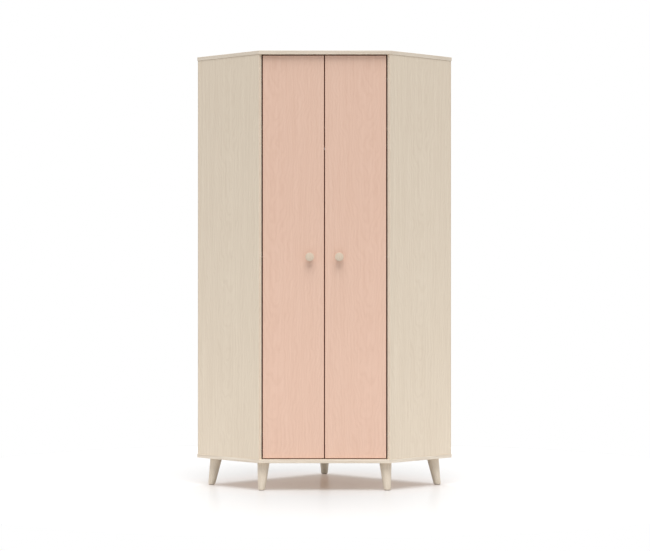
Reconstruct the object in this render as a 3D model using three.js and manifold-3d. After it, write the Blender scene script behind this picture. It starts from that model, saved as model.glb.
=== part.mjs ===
// Corner wardrobe with a slanting front, two doors set in between its end panels, and five splayed legs.
//
// Millimetres, +Z up. The front looks along -Y. The plan is a pentagon: two walls that meet at a
// right angle in the room's corner, two end panels square to them, and the front across.
// The origin lies on the floor, in the middle of the plan's box.

import * as THREE from "three";
import { mergeVertices } from "three/addons/utils/BufferGeometryUtils.js";
import Module from "manifold-3d";

const wasm = await Module();
wasm.setup();

// Overall sizes
const wallLength = 800; // along each wall, from the room's corner
const endDepth = 400; // along each end panel, from the front to the wall
const overallHeight = 1900;
const legHeight = 120;

// Boards
const boardThickness = 16;
const backThickness = 3;
const overhang = 2; // top and bottom panel beyond the end panels and back panels
const boardArris = 0.8; // bevel along the edges of a board
const seatGap = 0.3; // between pieces that rest against each other on a slant or in a bore
const cutOverrun = 1; // how far a cutting tool runs past the face that it cuts

// Rear stiles, in the room's corner
const stileReach = 102; // from the corner along each wall, to the stile's free edge

// Doors
const doorRecess = 16; // door face behind the front edge of the top panel
const doorSideGap = 4.5; // to the inner arris of the end panel
const doorMiddleGap = 3.5; // between the two doors
const doorBottomGap = 3.5;
const doorTopGap = 4;

// Knobs
const knobInset = 62; // from the door's free edge
const knobRadius = 18.75;
const knobNeckRadius = 8;
const knobFootRadius = 9.5;
const knobProjection = 27;
const knobHeadThickness = 10;
const knobDome = 1.6;
const knobScrewRadius = 2;
const knobScrewHeadRadius = 4.2;
const knobScrewHeadHeight = 2.4;
const knobScrewBite = 13; // how deep the screw goes into the knob

// Concealed hinges
const hingesPerDoor = 3;
const hingeEndDistance = 100; // from the door's bottom and top edge to a hinge
const cupBoreRadius = 17.5;
const cupBoreInset = 22.5; // from the door's hinged edge to the middle of the cup
const cupDepth = 11;
const cupWall = 1;
const flangeThickness = 1.2;
const flangeRadius = 18.6;
const flangeHalfHeight = 29;
const flangeEarHalfWidth = 8;
const flangeEarOffset = 4; // of the screw ears from the cup's middle, away from the edge
const pivotInset = 12; // hinge pin from the door's hinged edge, and from its face
const pinRadius = 1.5;
const knuckleRadius = 3;
const neckHalfWidth = 5;
const armThickness = 2.5;
const neckAngle = THREE.MathUtils.degToRad(15);
const armTurn = THREE.MathUtils.degToRad(20);
const armClearance = 2.3; // between the door's swinging edge and the arm that goes round it
const armStandoff = 10; // middle of the arm's strip from the end panel
const armBend = 8;
const armHalfWidth = 8;
const armCheek = 1.2;
const armLength = 96; // from the front edge of the outline, along the end panel
const armBodyStart = 50;
const plateThickness = 2;
const plateHalfHeight = 21;
const plateWingHalfLength = 7;
const plateStart = 46;

// Hat shelf and its supports
const shelfDrop = 308; // top of the shelf below the top panel
const shelfSetback = 60; // front edge of the shelf behind the front
const supportPinRadius = 2.5;
const supportPinDepth = 9;
const supportWidth = 10;
const supportReach = 12;
const supportPlate = 2;
const supportBackHeight = 12;
const supportFront = 120; // along the end panel, to its first support
const supportRear = 345; // and to its second
const supportOnStile = 62; // from the room's corner along the wall

// Hanging rail
const railHalfLength = 400;
const railRadius = 12.5;
const railWall = 1.2;
const railSetback = 300; // behind the front
const railDrop = 62; // middle of the rail below the shelf
const socketWall = 3;
const socketDepth = 15;
const socketFloor = 2.5;
const hangerThickness = 3;
const hangerHalfWidth = 10;
const hangerFlangeLength = 58;
const hangerFlangeThickness = 2.5;

// Legs
const legTopRadius = 25.5;
const legFootRadius = 14.5;
const legArris = 1.2;
const legSplay = THREE.MathUtils.degToRad(10);
const outerLegInset = 60; // square to both edges of the outline
const backLegInset = 60;
const frontLegInset = 55; // from the front edge
const frontLegEndInset = 52; // from the end panel's edge
const glideThickness = 3;
const glideRadius = 12;
const glidePinRadius = 2;
const glidePinLength = 12;
const legPlateRadius = 18;
const legPlateThickness = 2.5;
const studRadius = 4;
const studLength = 30;

// Facets round a turned piece
const fineFacets = 32;
const plainFacets = 24;
const smallFacets = 12;
const bendSteps = 3; // round a bend of a hinge arm
const mergeShare = 0.001; // of the seat gap, within which two corners are one

const diagonal = Math.SQRT1_2;
const quarterTurn = Math.PI / 2;
const eighthTurn = Math.PI / 4;

const frontHalf = (wallLength - endDepth) * diagonal;
const outerHalf = wallLength * diagonal;
const outerSetback = endDepth * diagonal;
const cornerSetback = outerSetback + outerHalf;

const innerFace = overhang + boardThickness; // of an end panel, inward from the outline
const backInner = overhang + backThickness; // of a back panel, inward from the wall line
const bottomUnder = legHeight;
const bottomTop = bottomUnder + boardThickness;
const topUnder = overallHeight - boardThickness;

const doorHalf = frontHalf + (overhang - innerFace) * diagonal - doorSideGap;
const doorWidth = doorHalf - doorMiddleGap / 2;
const doorBottom = bottomTop + doorBottomGap;
const doorTop = topUnder - doorTopGap;
const doorHeight = doorTop - doorBottom;
const shelfTop = topUnder - shelfDrop;
const shelfUnder = shelfTop - boardThickness;

const woodLaminate = material(0xdecbb4, 0.55);
const doorLaminate = material(0xe2bfa9, 0.5);
const fibreboard = material(0xe6dccb, 0.8);
const turnedWood = material(0xd8c4a8, 0.5);
const steel = material(0xb9bcc0, 0.35, 0.9);
const chrome = material(0xd8dade, 0.15, 1);
const plastic = material(0x4a4744, 0.6);

function material(color, roughness, metalness = 0) {
  return new THREE.MeshStandardMaterial({ color, roughness, metalness });
}

// Solids

function solidOf(geometry) {
  const source = geometry.index ? geometry.toNonIndexed() : geometry;
  const bare = new THREE.BufferGeometry().setAttribute(
    "position",
    source.getAttribute("position"),
  );
  const merged = mergeVertices(bare, seatGap * mergeShare);
  return new wasm.Manifold(
    new wasm.Mesh({
      numProp: 3,
      vertProperties: merged.attributes.position.array,
      triVerts: new Uint32Array(merged.index.array),
    }),
  );
}

function geometryOf(solid) {
  const mesh = solid.getMesh();
  const geometry = new THREE.BufferGeometry();
  geometry.setAttribute("position", new THREE.BufferAttribute(mesh.vertProperties, 3));
  geometry.setIndex(new THREE.BufferAttribute(mesh.triVerts, 1));
  const faceted = geometry.toNonIndexed();
  faceted.computeVertexNormals();
  return faceted;
}

function joined(geometries) {
  return geometryOf(geometries.map(solidOf).reduce((a, b) => a.add(b)));
}

function cut(geometry, tools) {
  return geometryOf(tools.map(solidOf).reduce((a, b) => a.subtract(b), solidOf(geometry)));
}

function common(geometry, limit) {
  return geometryOf(solidOf(geometry).intersect(solidOf(limit)));
}

// An upright prism over an outline of the plan, with an arris along its two faces.
function prism(outline, low, high, arris = 0) {
  return new THREE.ExtrudeGeometry(new THREE.Shape(outline), {
    depth: high - low - 2 * arris,
    bevelEnabled: arris > 0,
    bevelThickness: arris,
    bevelSize: arris,
    bevelOffset: -arris,
    bevelSegments: 1,
  }).translate(0, 0, low + arris);
}

// A board that stands in the plane of x and z, with its thickness along y.
function uprightBoard(x0, x1, y0, y1, z0, z1, arris = 0) {
  return prism(rectangle(x0, x1, -z1, -z0), y0, y1, arris).rotateX(-quarterTurn);
}

function rectangle(x0, x1, y0, y1) {
  return [
    new THREE.Vector2(x0, y0),
    new THREE.Vector2(x1, y0),
    new THREE.Vector2(x1, y1),
    new THREE.Vector2(x0, y1),
  ];
}

// A turned piece about z. The profile gives radius and height, from the bottom to the top outside.
function turned(profile, facets) {
  const points = profile.map(([radius, height]) => new THREE.Vector2(radius, height));
  return new THREE.LatheGeometry(points, facets).rotateX(quarterTurn);
}

// A turned piece about y, whose heights run along +y.
function turnedAlongY(profile, facets) {
  return turned(profile, facets).rotateX(-quarterTurn);
}

function rod(radius, low, high, facets = smallFacets) {
  return turned(
    [
      [0, low],
      [radius, low],
      [radius, high],
      [0, high],
    ],
    facets,
  );
}

// A flat strip on edge: the outline that lies half its thickness on each side of a path.
function stripOutline(points, thickness) {
  const sides = points.map((point, i) => {
    const before = points[Math.max(i - 1, 0)];
    const after = points[Math.min(i + 1, points.length - 1)];
    const ahead = new THREE.Vector2().subVectors(after, before).normalize();
    return new THREE.Vector2(-ahead.y, ahead.x).multiplyScalar(thickness / 2);
  });
  const left = points.map((point, i) => point.clone().add(sides[i]));
  const right = points.map((point, i) => point.clone().sub(sides[i]));
  return [...right, ...left.reverse()];
}

function node(parent, name, geometry, finish) {
  const mesh = new THREE.Mesh(geometry, finish);
  mesh.name = name;
  parent.add(mesh);
  return mesh;
}

function frame(parent, x, y, turn) {
  const group = new THREE.Group();
  group.position.set(x, y, 0);
  group.rotation.z = turn;
  parent.add(group);
  return group;
}

// Top and bottom panel

const outline = [
  new THREE.Vector2(-frontHalf, 0),
  new THREE.Vector2(frontHalf, 0),
  new THREE.Vector2(outerHalf, outerSetback),
  new THREE.Vector2(0, cornerSetback),
  new THREE.Vector2(-outerHalf, outerSetback),
];

const wardrobe = new THREE.Group();
const knobReach = knobProjection - doorRecess; // of the knobs, beyond the front
const plan = frame(wardrobe, 0, (knobReach - cornerSetback) / 2, 0);
node(plan, "bottom_panel", prism(outline, bottomUnder, bottomTop, boardArris), woodLaminate);
node(plan, "top_panel", prism(outline, topUnder, overallHeight, boardArris), woodLaminate);

// End panels, back panels, rear stiles and shelf supports.
// An end frame starts at a front corner of the outline: x runs back along the end panel, y inward.
// A wall frame starts at an outer corner: x runs along the wall to the room's corner, y inward.

function supportBore(x, y) {
  const deep = supportPinDepth + seatGap;
  return rod(supportPinRadius + seatGap, -deep, cutOverrun)
    .rotateX(-quarterTurn)
    .translate(x, y, shelfUnder - supportBackHeight / 2);
}

function shelfSupport(x, y) {
  const face = y + seatGap;
  const pin = rod(supportPinRadius, -supportPinDepth, supportPlate / 2)
    .rotateX(-quarterTurn)
    .translate(x, face, shelfUnder - supportBackHeight / 2);
  const left = x - supportWidth / 2;
  const right = x + supportWidth / 2;
  const low = shelfUnder - supportBackHeight;
  const back = uprightBoard(left, right, face, face + supportPlate, low, shelfUnder);
  const ledgeEnd = face + supportReach;
  const ledge = uprightBoard(left, right, face, ledgeEnd, shelfUnder - supportPlate, shelfUnder);
  return joined([pin, back, ledge]);
}

function endPanel() {
  const rear = endDepth - backInner - seatGap;
  const board = uprightBoard(overhang, rear, overhang, innerFace, bottomTop, topUnder, boardArris);
  return cut(board, [supportBore(supportFront, innerFace), supportBore(supportRear, innerFace)]);
}

function backPanel(cornerEnd) {
  return uprightBoard(overhang, cornerEnd, overhang, backInner, bottomTop, topUnder);
}

const stileOuter = backInner + seatGap;
const stileInner = stileOuter + boardThickness;

function rearStile(cornerEnd) {
  const free = wallLength - stileReach;
  const board = uprightBoard(free, cornerEnd, stileOuter, stileInner, bottomTop, topUnder, boardArris);
  return cut(board, [supportBore(wallLength - supportOnStile, stileInner)]);
}

function buildSide(parent, side, backEnd, stileEnd) {
  const end = frame(parent, frontHalf, 0, eighthTurn);
  node(end, side + "_end_panel", endPanel(), woodLaminate);
  node(end, side + "_front_shelf_support", shelfSupport(supportFront, innerFace), steel);
  node(end, side + "_rear_shelf_support", shelfSupport(supportRear, innerFace), steel);
  const wall = frame(parent, outerHalf, outerSetback, eighthTurn + quarterTurn);
  node(wall, side + "_back_panel", backPanel(backEnd), fibreboard);
  node(wall, side + "_rear_stile", rearStile(stileEnd), woodLaminate);
  const onStile = wallLength - supportOnStile;
  node(wall, side + "_stile_shelf_support", shelfSupport(onStile, stileInner), steel);
}

// Hat shelf

// A point of the right half of the plan, from the end panel's frame or from the wall's.
function fromEnd(along, inward) {
  return new THREE.Vector2(
    frontHalf + (along - inward) * diagonal,
    (along + inward) * diagonal,
  );
}

function fromWall(along, inward) {
  return new THREE.Vector2(
    outerHalf - (along + inward) * diagonal,
    outerSetback + (along - inward) * diagonal,
  );
}

function hatShelf() {
  const sideInward = innerFace + seatGap;
  const backInward = backInner + seatGap;
  const notch = stileInner + seatGap;
  const front = shelfSetback / diagonal - sideInward;
  const right = [
    fromEnd(front, sideInward),
    fromEnd(endDepth - backInward, sideInward),
    fromWall(wallLength - stileReach - seatGap, backInward),
    fromWall(wallLength - stileReach - seatGap, notch),
    fromWall(wallLength - notch, notch),
  ];
  const left = right
    .slice(0, -1)
    .reverse()
    .map((point) => new THREE.Vector2(-point.x, point.y));
  return prism([...right, ...left], shelfUnder, shelfTop, boardArris);
}

node(plan, "hat_shelf", hatShelf(), woodLaminate);

// Hanging rail, between two sockets that hang from the shelf

const railHeight = shelfUnder - railDrop;
const socketRadius = railRadius + seatGap + socketWall;

function hangingRail() {
  const bore = railRadius - railWall;
  return turned(
    [
      [bore, -railHalfLength],
      [railRadius, -railHalfLength],
      [railRadius, railHalfLength],
      [bore, railHalfLength],
      [bore, -railHalfLength],
    ],
    fineFacets,
  ).rotateY(quarterTurn);
}

// The socket's heights run out from the rail's end.
function railHanger() {
  const mouth = railHalfLength - socketDepth;
  const floor = railHalfLength + seatGap;
  const end = floor + socketFloor;
  const bore = railRadius + seatGap;
  const socket = turned(
    [
      [0, floor],
      [bore, floor],
      [bore, mouth],
      [socketRadius, mouth],
      [socketRadius, end],
      [0, end],
    ],
    fineFacets,
  ).rotateY(quarterTurn);
  const stemTop = railDrop - hangerFlangeThickness / 2;
  const stem = prism(
    rectangle(end - hangerThickness, end, -hangerHalfWidth, hangerHalfWidth),
    railRadius + socketWall / 2,
    stemTop,
  );
  const flange = prism(
    rectangle(end - hangerFlangeLength, end, -hangerHalfWidth, hangerHalfWidth),
    railDrop - hangerFlangeThickness,
    railDrop,
  );
  return joined([socket, stem, flange]);
}

const rail = new THREE.Group();
rail.position.set(0, railSetback, railHeight);
plan.add(rail);
node(rail, "hanging_rail", hangingRail(), chrome);

// Doors, knobs and hinges.
// A door frame starts at the door's outer front corner: x runs to its free edge, y inward.

const hingeHeights = Array.from(
  { length: hingesPerDoor },
  (_, i) =>
    doorBottom +
    hingeEndDistance +
    (i * (doorHeight - 2 * hingeEndDistance)) / (hingesPerDoor - 1),
);
const knobHeight = doorBottom + doorHeight / 2;
const knobPlace = doorWidth - knobInset;
const pivot = new THREE.Vector2(pivotInset, pivotInset);

function door() {
  const board = uprightBoard(0, doorWidth, 0, boardThickness, doorBottom, doorTop, boardArris);
  const boreDepth = cupDepth + seatGap;
  const cupBores = hingeHeights.map((height) =>
    rod(cupBoreRadius, boardThickness - boreDepth, boardThickness + cutOverrun, fineFacets)
      .rotateX(-quarterTurn)
      .translate(cupBoreInset, 0, height),
  );
  const screwBore = rod(knobScrewRadius + seatGap, -cutOverrun, boardThickness + cutOverrun)
    .rotateX(-quarterTurn)
    .translate(knobPlace, 0, knobHeight);
  return cut(board, [...cupBores, screwBore]);
}

// Heights run out from the door's face.
function knob() {
  const shoulder = knobProjection - knobHeadThickness;
  const rim = knobHeadThickness / 4;
  const bore = knobScrewRadius + seatGap;
  const profile = [
    [0, knobScrewBite + seatGap],
    [bore, knobScrewBite + seatGap],
    [bore, seatGap],
    [knobFootRadius, seatGap],
    [knobFootRadius, seatGap + rim / 2],
    [knobNeckRadius, shoulder / 2],
    [knobNeckRadius + rim, shoulder - rim],
    [knobRadius - rim, shoulder],
    [knobRadius, shoulder + rim],
    [knobRadius, knobProjection - rim - knobDome],
    [knobRadius - rim / 2, knobProjection - rim / 2 - knobDome],
    [knobRadius - rim, knobProjection - knobDome],
    [knobRadius / 2, knobProjection - knobDome / 4],
    [0, knobProjection],
  ];
  return turned(profile, plainFacets).rotateX(quarterTurn).translate(knobPlace, 0, knobHeight);
}

function knobScrew() {
  const head = boardThickness + seatGap;
  const profile = [
    [0, -knobScrewBite],
    [knobScrewRadius, -knobScrewBite],
    [knobScrewRadius, head],
    [knobScrewHeadRadius, head],
    [knobScrewHeadRadius, head + knobScrewHeadHeight / 2],
    [knobScrewHeadRadius - knobScrewHeadHeight / 2, head + knobScrewHeadHeight],
    [0, head + knobScrewHeadHeight],
  ];
  return turnedAlongY(profile, smallFacets).translate(knobPlace, 0, knobHeight);
}

// The cup sits in its bore, its flange lies on the back of the door, and the pin crosses it.
function hingeCup() {
  const outer = cupBoreRadius - seatGap;
  const inner = outer - cupWall;
  const floor = boardThickness - cupDepth;
  const flangeUnder = boardThickness + seatGap;
  const face = flangeUnder + flangeThickness;
  const shell = turnedAlongY(
    [
      [0, floor],
      [outer, floor],
      [outer, flangeUnder],
      [flangeRadius, flangeUnder],
      [flangeRadius, face],
      [inner, face],
      [inner, floor + cupWall],
      [0, floor + cupWall],
    ],
    plainFacets,
  );
  const ears = uprightBoard(
    flangeEarOffset - flangeEarHalfWidth,
    flangeEarOffset + flangeEarHalfWidth,
    flangeUnder,
    face,
    -flangeHalfHeight,
    flangeHalfHeight,
  );
  const mouth = rod(inner, floor + cupWall, face + cutOverrun, plainFacets).rotateX(-quarterTurn);
  const reach = rod(outer - cupWall / 2, floor, boardThickness, plainFacets).rotateX(-quarterTurn);
  const pin = rod(pinRadius, -outer, outer).translate(pivotInset - cupBoreInset, pivotInset, 0);
  const cup = joined([shell, cut(ears, [mouth]), common(pin, reach)]);
  return cup.translate(cupBoreInset, 0, 0);
}

// A point of the door's frame, seen in the end panel's frame.
function ontoEnd(point) {
  const x = doorHalf - point.x - frontHalf;
  const y = point.y + doorRecess;
  return new THREE.Vector2((y + x) * diagonal, (y - x) * diagonal);
}

const armInward = innerFace + armStandoff;
const armRadius = pivot.length() + armClearance + armThickness / 2;

// From the pin out of the cup, round the door's edge, and back along the end panel.
function armPath() {
  const ahead = new THREE.Vector2(Math.cos(neckAngle), Math.sin(neckAngle));
  const neckEnd = pivot.clone().addScaledVector(ahead, armRadius - armBend / 2);
  const turnPoint = pivot.clone().addScaledVector(ahead, armRadius / Math.cos(armTurn));
  const arcStart = neckAngle + armTurn;
  const arcFrom = new THREE.Vector2(Math.cos(arcStart), Math.sin(arcStart))
    .multiplyScalar(armRadius)
    .add(pivot);
  const path = new THREE.Path();
  path.moveTo(pivot.x, pivot.y);
  path.lineTo(neckEnd.x, neckEnd.y);
  path.quadraticCurveTo(turnPoint.x, turnPoint.y, arcFrom.x, arcFrom.y);
  path.absarc(pivot.x, pivot.y, armRadius, arcStart, quarterTurn, false);
  const round = path.getPoints(bendSteps).map(ontoEnd);
  const level = pivot.y + armRadius + doorRecess;
  const corner = new THREE.Vector2(level / diagonal - armInward, armInward);
  const beforeCorner = corner.clone().addScaledVector(new THREE.Vector2(diagonal, -diagonal), -armBend);
  const rest = new THREE.Path();
  rest.moveTo(beforeCorner.x, beforeCorner.y);
  rest.quadraticCurveTo(corner.x, corner.y, corner.x + armBend, armInward);
  rest.lineTo(armBodyStart + armThickness, armInward);
  return [...round, ...rest.getPoints(bendSteps)];
}

// The arm turns on the pin, leaves the cup, goes round the door's edge and ends in a channel
// that lies over its plate. Both are drawn in the end panel's frame.
function hingeArm() {
  const strip = prism(stripOutline(armPath(), armThickness), -neckHalfWidth, neckHalfWidth);
  const pin = ontoEnd(pivot);
  const knuckle = rod(knuckleRadius, -neckHalfWidth, neckHalfWidth, plainFacets / 2);
  const pinBore = rod(pinRadius + seatGap, -armHalfWidth, armHalfWidth);
  const web = armThickness / 2 + seatGap;
  const skirt = innerFace + seatGap + plateThickness + seatGap;
  const block = prism(
    rectangle(armBodyStart, armLength, skirt, armInward + web),
    -armHalfWidth,
    armHalfWidth,
  );
  const inside = armHalfWidth - armCheek;
  const channel = prism(
    rectangle(armBodyStart - cutOverrun, armLength + cutOverrun, 0, armInward - web),
    -inside,
    inside,
  );
  const arm = joined([strip, knuckle.translate(pin.x, pin.y, 0), cut(block, [channel])]);
  return cut(arm, [pinBore.translate(pin.x, pin.y, 0)]);
}

function hingePlate() {
  const under = innerFace + seatGap;
  const middle = (plateStart + armLength) / 2;
  const wing0 = middle - plateWingHalfLength;
  const wing1 = middle + plateWingHalfLength;
  const cross = [
    new THREE.Vector2(plateStart, -armHalfWidth),
    new THREE.Vector2(wing0, -armHalfWidth),
    new THREE.Vector2(wing0, -plateHalfHeight),
    new THREE.Vector2(wing1, -plateHalfHeight),
    new THREE.Vector2(wing1, -armHalfWidth),
    new THREE.Vector2(armLength, -armHalfWidth),
    new THREE.Vector2(armLength, armHalfWidth),
    new THREE.Vector2(wing1, armHalfWidth),
    new THREE.Vector2(wing1, plateHalfHeight),
    new THREE.Vector2(wing0, plateHalfHeight),
    new THREE.Vector2(wing0, armHalfWidth),
    new THREE.Vector2(plateStart, armHalfWidth),
  ];
  const base = prism(cross, under, under + plateThickness).rotateX(-quarterTurn);
  const ridge = armHalfWidth - armCheek - seatGap;
  const ridgeTop = armInward - armThickness / 2 - 2 * seatGap;
  const ridgeEnd = armLength - armCheek;
  const block = prism(rectangle(armBodyStart, ridgeEnd, under, ridgeTop), -ridge, ridge);
  return joined([base, block]);
}

const hingeNames = ["lower", "middle", "upper"];

function buildDoor(parent, side) {
  const doorFrame = frame(parent, doorHalf, doorRecess, 0);
  doorFrame.scale.x = -1;
  node(doorFrame, side + "_door", door(), doorLaminate);
  node(doorFrame, side + "_knob", knob(), turnedWood);
  node(doorFrame, side + "_knob_screw", knobScrew(), steel);
  const endFrame = frame(parent, frontHalf, 0, eighthTurn);
  hingeHeights.forEach((height, i) => {
    const name = side + "_" + (hingeNames[i] ?? i) + "_hinge";
    node(doorFrame, name + "_cup", hingeCup(), steel).position.z = height;
    node(endFrame, name + "_arm", hingeArm(), steel).position.z = height;
    node(endFrame, name + "_plate", hingePlate(), steel).position.z = height;
  });
}

// Legs. Each leans along a direction of the plan, and is cut level at its top and at its foot.

const legBottom = glideThickness;

function leaning(geometry, direction) {
  const lean = Math.tan(legSplay);
  const shear = new THREE.Matrix4().makeShear(0, 0, 0, 0, 0, 0);
  shear.elements[8] = -lean * direction.x;
  shear.elements[9] = -lean * direction.y;
  return geometry
    .translate(0, 0, -legHeight)
    .applyMatrix4(shear)
    .translate(0, 0, legHeight);
}

function legProfile() {
  const glideBore = glidePinRadius + seatGap;
  const glideTop = legBottom + glidePinLength + seatGap;
  const pocket = legPlateRadius + seatGap;
  const pocketFloor = legHeight - legPlateThickness - seatGap;
  const studBore = studRadius + seatGap;
  const studEnd = legHeight - legPlateThickness - studLength - seatGap;
  return [
    [0, glideTop],
    [glideBore, glideTop],
    [glideBore, legBottom],
    [legFootRadius - legArris, legBottom],
    [legFootRadius, legBottom + legArris],
    [legTopRadius, legHeight - legArris],
    [legTopRadius - legArris, legHeight],
    [pocket, legHeight],
    [pocket, pocketFloor],
    [studBore, pocketFloor],
    [studBore, studEnd],
    [0, studEnd],
  ];
}

function legPlateProfile() {
  const under = legHeight - legPlateThickness;
  return [
    [0, under - studLength],
    [studRadius, under - studLength],
    [studRadius, under],
    [legPlateRadius, under],
    [legPlateRadius, legHeight],
    [0, legHeight],
  ];
}

function glideProfile() {
  return [
    [0, 0],
    [glideRadius, 0],
    [glideRadius, legBottom],
    [glidePinRadius, legBottom],
    [glidePinRadius, legBottom + glidePinLength],
    [0, legBottom + glidePinLength],
  ];
}

const frontLegX = frontHalf + frontLegInset - frontLegEndInset / diagonal;
const frontBisector = quarterTurn - eighthTurn / 2;
const frontLegLean = new THREE.Vector2(Math.cos(frontBisector), -Math.sin(frontBisector));
const legPlaces = [
  { name: "left_front", x: -frontLegX, y: frontLegInset, lean: [-frontLegLean.x, frontLegLean.y] },
  { name: "right_front", x: frontLegX, y: frontLegInset, lean: [frontLegLean.x, frontLegLean.y] },
  { name: "left_outer", x: -outerHalf + outerLegInset / diagonal, y: outerSetback, lean: [-1, 0] },
  { name: "right_outer", x: outerHalf - outerLegInset / diagonal, y: outerSetback, lean: [1, 0] },
  { name: "back", x: 0, y: cornerSetback - backLegInset / diagonal, lean: [0, 1] },
];

for (const place of legPlaces) {
  const stand = frame(plan, place.x, place.y, 0);
  const lean = new THREE.Vector2(...place.lean);
  const made = (profile, facets) => leaning(turned(profile, facets), lean);
  node(stand, place.name + "_leg", made(legProfile(), plainFacets), turnedWood);
  node(stand, place.name + "_leg_plate", made(legPlateProfile(), smallFacets), steel);
  node(stand, place.name + "_glide", made(glideProfile(), smallFacets), plastic);
}

// The right half is drawn, and the left half is its mirror image, apart from the corner,
// where the left back panel and stile run through and the right ones end against them.

const halves = [
  { side: "left", mirror: -1, back: wallLength - overhang, stile: wallLength - stileOuter },
  {
    side: "right",
    mirror: 1,
    back: wallLength - backInner - seatGap,
    stile: wallLength - stileInner - seatGap,
  },
];

for (const { side, mirror, back, stile } of halves) {
  const half = new THREE.Group();
  half.scale.x = mirror;
  plan.add(half);
  buildSide(half, side, back, stile);
  buildDoor(half, side);
  const hanger = new THREE.Group();
  hanger.position.copy(rail.position);
  half.add(hanger);
  node(hanger, side + "_rail_hanger", railHanger(), chrome);
}

export default wardrobe;
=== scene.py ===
"""Corner wardrobe: the finishes, turned pieces, fittings and fasteners round its fixed frame.

Lengths are metres in the frame's own axes: the doors face -Y and +Z is up.
"""

from collections import namedtuple
from math import asin, cos, degrees, pi, radians, sin

import bmesh
import bpy
from bpy.props import FloatProperty, FloatVectorProperty, IntProperty, PointerProperty
from mathutils import Matrix, Vector


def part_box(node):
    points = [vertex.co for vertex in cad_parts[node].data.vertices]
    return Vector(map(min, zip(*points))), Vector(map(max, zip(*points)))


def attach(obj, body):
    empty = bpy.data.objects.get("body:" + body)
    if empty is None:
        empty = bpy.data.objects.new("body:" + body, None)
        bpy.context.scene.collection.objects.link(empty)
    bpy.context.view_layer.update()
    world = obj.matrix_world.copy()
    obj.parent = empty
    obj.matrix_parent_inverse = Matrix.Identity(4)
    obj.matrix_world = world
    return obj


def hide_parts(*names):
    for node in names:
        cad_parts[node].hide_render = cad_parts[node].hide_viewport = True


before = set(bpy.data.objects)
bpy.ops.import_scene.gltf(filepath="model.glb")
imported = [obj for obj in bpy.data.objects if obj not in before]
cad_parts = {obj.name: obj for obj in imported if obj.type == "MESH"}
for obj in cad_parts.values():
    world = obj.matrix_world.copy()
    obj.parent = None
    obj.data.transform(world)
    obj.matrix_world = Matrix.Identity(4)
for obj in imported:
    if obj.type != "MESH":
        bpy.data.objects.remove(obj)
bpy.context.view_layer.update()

bl_info = {
    "name": "Corner wardrobe",
    "version": (1, 0, 0),
    "blender": (4, 5, 0),
    "location": "3D View > Sidebar > Wardrobe",
    "description": "Dresses the frame of a corner wardrobe with its finishes and small pieces",
    "category": "Add Mesh",
}

MM = 0.001
FULL_TURN = 2 * pi
SIDES = {"left": -1, "right": 1}
HINGES = ("lower", "middle", "upper")
LEGS = ("left_front", "right_front", "left_outer", "right_outer", "back")

# The vertex attribute with a turned piece's place on the lathe
GRAIN_PLACE = "grain_place"

# Points this near are one, and CAD edges this short are merged before a rounding
MERGE_DISTANCE = 1e-6
SHORTEST_EDGE = 0.05 * MM

# Digits, in metres, that tell a turned node's levels apart
LEVEL_DIGITS = 5

# Turns between two faces: what counts as flat, what is rounded and what shades sharp
FLAT_ANGLE = radians(1)
ROUNDED_ANGLE = radians(35)
SHARP_ANGLE = radians(38)

# Steps of roundings and arcs, and faces round the small heads and the floor
PROFILE_STEPS, EDGE_STEPS, ARC_STEPS = 5, 2, 10
HEAD_FACETS, NAIL_FACETS, FLOOR_FACETS = 24, 12, 96

# Turns of a shape that is made about +z
FACING_IN = Matrix.Rotation(-pi / 2, 4, "X")
FACING_OUT = Matrix.Rotation(pi / 2, 4, "X")
FACING_DOWN = Matrix.Rotation(pi, 4, "X")
LYING = Matrix.Rotation(pi / 2, 4, "Y")

# A crossed head: shares of its radius, of its rise, and of the cross's mouth
HEAD_FLAT, CROSS_ARM, CROSS_HALF = 0.8, 0.55, 0.14
HEAD_SHOULDER, CROSS_DEPTH = 0.8, 0.55
CROSS_TAPER = 0.8

# The cove of a knob's neck: its ends in degrees, and how far it is raised
COVE_ENDS = (230, 120)
COVE_LIFT = 1 * MM

# Screws: in from a cup's middle or a plate's foot, then up and down from the middle
CUP_SCREWS = (4 * MM, 24.5 * MM)
PLATE_SCREWS = (2 * MM, 14.5 * MM)

# Screws of an arm, and of a rail hanger under its flange: in from the end
ARM_SCREWS = (12 * MM, 36 * MM)
HANGER_SCREWS = (8 * MM, 26 * MM)
HANGER_FLANGE = 2.5 * MM

# Cam fittings across a board, in shares of its width
END_CAMS = (0.15, 0.85)
STILE_CAMS = (0.5,)

# Where the laminates' figures peak: heights on end panels and stiles, and x on doors
END_HEART = 0.4
STILE_HEART = 1.1
DOOR_HEARTS = {"left": -0.218, "right": 0.187}

# The grain's bands and pores: width and length in fibres, and what of the noise shows
BAND_SIZE = (2.6, 4.0)
BAND_SHARE = 0.5
PORE_SIZE = (0.35, 0.16)
PORE_RANGE = (0.62, 0.74)
GROUND_RANGE = (0.36, 0.64)

# The growth rings wobble: width and depth in metres, length in fibres. They lean along z.
WOBBLE_WIDTH, WOBBLE_DEPTH, WOBBLE_LENGTH = 0.06, 0.06, 1.4
RING_LEAN = -0.07
RING_SHARPNESS = 2.2

# The edge bands' fibres lie level: width and length as the grain takes them
BAND_FIBRE = (0.09, 0.0022)

# The bare fibreboard's fibres and clouds: sizes, shares, and what of the noise shows
FIBRES = (0.0016, 0.0016, 0.0016)
CLOUDS = (0.09, 0.09, 0.09)
FIBRE_SHARE, CLOUD_SHARE = 0.85, 0.15
MOTTLE_RANGE = (0.35, 0.65)

# The metals' fine marks, the shares in their tone, and the glides' stipple
MARKS = (0.0006, 0.0006, 0.004)
MARK_SHARE, PATCH_SHARE = 0.4, 0.6
STIPPLE = (0.0005, 0.0005, 0.0005)

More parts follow.
